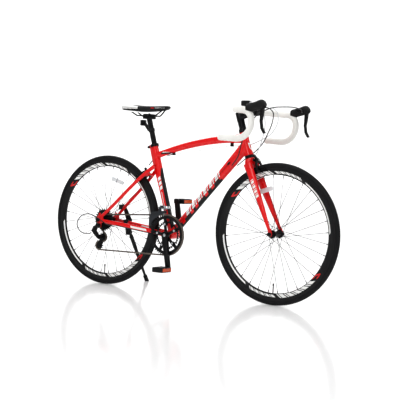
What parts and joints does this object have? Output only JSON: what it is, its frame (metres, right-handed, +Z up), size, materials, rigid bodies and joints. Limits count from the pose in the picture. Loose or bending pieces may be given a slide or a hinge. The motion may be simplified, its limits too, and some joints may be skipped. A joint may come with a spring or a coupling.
{
  "type": "road bicycle",
  "caption": "Drop bar road bicycle leaning on its kickstand, with deep rims, arched frame tubes, side-pull brakes and derailleur gears.",
  "frame": {"origin": "the floor directly under the rear axle, where the leaning rear tyre touches it", "axes": "+X forward to the front wheel, +Y to the rider's left, +Z up from the floor"},
  "size_m": [1.706, 0.4672, 0.9759],
  "materials": {
    "red_gloss_paint": "gloss red paint over aluminium tube",
    "black_anodised": "black anodised aluminium",
    "silver_alloy": "polished aluminium",
    "bright_steel": "plated steel",
    "dark_steel": "black coated steel",
    "tyre_rubber": "black tread rubber",
    "rubber_hood": "black moulded rubber",
    "white_tape": "white cork-like bar tape",
    "saddle_cover": "black synthetic leather over foam",
    "black_resin": "black moulded resin",
    "clear_reflector": "clear prismatic acrylic",
    "cable_housing": "plastic cable housing"
  },
  "bodies": {
    "frame": {"head_tube": "red_gloss_paint", "top_tube": "red_gloss_paint", "down_tube": "red_gloss_paint", "seat_tube": "red_gloss_paint", "bottom_bracket_shell": "red_gloss_paint", "chainstays": "red_gloss_paint", "seatstays": "red_gloss_paint", "frame_fittings": "black_anodised", "rear_axle": "bright_steel", "front_derailleur": "silver_alloy", "rear_derailleur": "black_anodised", "chain": "dark_steel", "control_cables": "cable_housing", "frame_cables": "cable_housing", "kickstand_bracket": "dark_steel"},
    "steering": {"fork": "red_gloss_paint", "steerer": "black_anodised", "stem": "black_anodised", "handlebar": "black_anodised", "bar_tape": "white_tape", "brake_hoods": "rubber_hood", "headlight": "black_resin", "front_axle": "bright_steel", "front_brake_hardware": "bright_steel"},
    "front_wheel": {"front_tyre": "tyre_rubber", "front_rim": "black_anodised", "front_spokes": "bright_steel", "front_hub": "silver_alloy", "front_wheel_trim": "clear_reflector"},
    "rear_wheel": {"rear_tyre": "tyre_rubber", "rear_rim": "black_anodised", "rear_spokes": "bright_steel", "rear_hub": "silver_alloy", "rear_wheel_trim": "clear_reflector"},
    "freewheel": {"sprockets": "dark_steel"},
    "crankset": {"chainrings": "black_anodised", "right_crank": "black_anodised", "left_crank": "black_anodised", "crank_spindle": "bright_steel", "pedal_spindles": "bright_steel"},
    "pedal_right": {"right_pedal": "black_resin"},
    "pedal_left": {"left_pedal": "black_resin"},
    "cage": {"derailleur_cage": "black_anodised"},
    "pulley_guide": {"guide_pulley": "black_resin"},
    "pulley_tension": {"tension_pulley": "black_resin"},
    "shift_cage": {"front_derailleur_cage": "silver_alloy"},
    "lever_left": {"left_brake_lever": "black_anodised"},
    "lever_right": {"right_brake_lever": "black_anodised"},
    "thumb_left": {"left_shift_lever": "black_resin"},
    "thumb_right": {"right_shift_lever": "black_resin"},
    "front_arm_left": {"front_brake_left_arm": "black_anodised"},
    "front_arm_right": {"front_brake_right_arm": "black_anodised"},
    "rear_arm_left": {"rear_brake_left_arm": "black_anodised"},
    "rear_arm_right": {"rear_brake_right_arm": "black_anodised"},
    "stand": {"kickstand_leg": "dark_steel"},
    "seat": {"seatpost": "black_anodised", "saddle": "saddle_cover", "rear_reflector": "clear_reflector"},
    "front_release": {"front_release_lever": "silver_alloy"},
    "rear_release": {"rear_release_lever": "silver_alloy"}
  },
  "joints": [
    {"name": "steering_turn", "type": "hinge", "parent": "frame", "child": "steering", "pos_m": [0.85967, 0.05603, 0.70431], "axis": [-0.3173, 0.0767, 0.9452], "range_deg": [-40, 40], "deforming": ["control_cables"]},
    {"name": "front_wheel_spin", "type": "hinge", "parent": "steering", "child": "front_wheel", "pos_m": [1.028, 0.02629, 0.33793], "axis": [0, 0.9967, -0.0809], "continuous": true},
    {"name": "rear_wheel_spin", "type": "hinge", "parent": "frame", "child": "rear_wheel", "pos_m": [0, 0.02629, 0.33793], "axis": [0, 0.9967, -0.0809], "continuous": true},
    {"name": "crank_spin", "type": "hinge", "parent": "frame", "child": "crankset", "pos_m": [0.429, 0.02241, 0.29009], "axis": [0, 0.9967, -0.0809], "continuous": true, "deforming": ["chain"]},
    {"name": "freewheel_spin", "type": "hinge", "parent": "frame", "child": "freewheel", "pos_m": [0, 0.02629, 0.33793], "axis": [0, 0.9967, -0.0809], "continuous": true},
    {"name": "cage_swing", "type": "hinge", "parent": "frame", "child": "cage", "pos_m": [0.022, -0.03274, 0.25343], "axis": [0, 0.9967, -0.0809], "range_deg": [-25, 25], "stiffness_Nm_per_rad": 0.6, "deforming": ["chain"]},
    {"name": "guide_pulley_spin", "type": "hinge", "parent": "cage", "child": "pulley_guide", "pos_m": [0.022, -0.03274, 0.25343], "axis": [0, 0.9967, -0.0809], "continuous": true},
    {"name": "tension_pulley_spin", "type": "hinge", "parent": "cage", "child": "pulley_tension", "pos_m": [-0.0007, -0.03634, 0.20903], "axis": [0, 0.9967, -0.0809], "continuous": true},
    {"name": "right_pedal_spin", "type": "hinge", "parent": "crankset", "child": "pedal_right", "pos_m": [0.45852, -0.11274, 0.13309], "axis": [0, 0.9967, -0.0809], "continuous": true},
    {"name": "left_pedal_spin", "type": "hinge", "parent": "crankset", "child": "pedal_left", "pos_m": [0.39948, 0.15755, 0.44709], "axis": [0, 0.9967, -0.0809], "continuous": true},
    {"name": "left_brake_squeeze", "type": "hinge", "parent": "steering", "child": "lever_left", "pos_m": [1.04777, 0.28302, 0.90519], "axis": [0, 0.9967, -0.0809], "range_deg": [0, 13], "stiffness_Nm_per_rad": 2, "springref_deg": -8.59},
    {"name": "right_brake_squeeze", "type": "hinge", "parent": "steering", "child": "lever_right", "pos_m": [1.04777, -0.1356, 0.93917], "axis": [0, 0.9967, -0.0809], "range_deg": [0, 13], "stiffness_Nm_per_rad": 2, "springref_deg": -8.59},
    {"name": "left_shift_push", "type": "hinge", "parent": "steering", "child": "thumb_left", "pos_m": [1.00178, 0.26523, 0.91968], "axis": [0, 0.9967, -0.0809], "range_deg": [0, 12], "stiffness_Nm_per_rad": 0.3, "springref_deg": -5.73},
    {"name": "right_shift_push", "type": "hinge", "parent": "steering", "child": "thumb_right", "pos_m": [1.00178, -0.11571, 0.9506], "axis": [0, 0.9967, -0.0809], "range_deg": [0, 12], "stiffness_Nm_per_rad": 0.3, "springref_deg": -5.73},
    {"name": "front_cage_shift", "type": "hinge", "parent": "frame", "child": "shift_cage", "pos_m": [0.375, 0.00092, 0.4333], "axis": [1, 0, 0], "range_deg": [0, 8], "deforming": ["chain"]},
    {"name": "front_left_arm_close", "type": "hinge", "parent": "steering", "child": "front_arm_left", "pos_m": [0.87172, 0.05311, 0.66839], "axis": [0.9483, 0.0257, 0.3163], "range_deg": [-1.3, 0]},
    {"name": "front_right_arm_close", "type": "hinge", "parent": "steering", "child": "front_arm_right", "pos_m": [0.87172, 0.05311, 0.66839], "axis": [0.9483, 0.0257, 0.3163], "range_deg": [0, 1.3]},
    {"name": "rear_left_arm_close", "type": "hinge", "parent": "frame", "child": "rear_arm_left", "pos_m": [0.26034, 0.0464, 0.58576], "axis": [-0.6866, 0.0588, 0.7247], "range_deg": [0, 1.3]},
    {"name": "rear_right_arm_close", "type": "hinge", "parent": "frame", "child": "rear_arm_right", "pos_m": [0.26034, 0.0464, 0.58576], "axis": [-0.6866, 0.0588, 0.7247], "range_deg": [-1.3, 0]},
    {"name": "kickstand_fold", "type": "hinge", "parent": "frame", "child": "stand", "pos_m": [0.08, 0.12079, 0.26605], "axis": [0.078, 0.9624, 0.2601], "range_deg": [0, 108.1]},
    {"name": "seatpost_slide", "type": "slide", "parent": "frame", "child": "seat", "axis": [-0.2924, 0.0774, 0.9532], "range_m": [-0.05, 0.05]},
    {"name": "front_release_open", "type": "hinge", "parent": "steering", "child": "front_release", "pos_m": [1.028, 0.10005, 0.33195], "axis": [-0.6, -0.0647, -0.7974], "range_deg": [0, 170]},
    {"name": "rear_release_open", "type": "hinge", "parent": "frame", "child": "rear_release", "pos_m": [0, 0.114, 0.33082], "axis": [-0.3903, -0.0745, -0.9177], "range_deg": [0, 170]}
  ],
  "couplings": [
    {"joint": "freewheel_spin", "follows": "crank_spin", "ratio": 3.5714},
    {"joint": "guide_pulley_spin", "follows": "crank_spin", "ratio": -4.5455},
    {"joint": "tension_pulley_spin", "follows": "crank_spin", "ratio": 4.5455},
    {"joint": "front_cage_shift", "follows": "left_shift_push", "ratio": 0.66667},
    {"joint": "front_left_arm_close", "follows": "left_brake_squeeze", "ratio": -0.1},
    {"joint": "front_right_arm_close", "follows": "left_brake_squeeze", "ratio": 0.1},
    {"joint": "rear_left_arm_close", "follows": "right_brake_squeeze", "ratio": 0.1},
    {"joint": "rear_right_arm_close", "follows": "right_brake_squeeze", "ratio": -0.1}
  ]
}
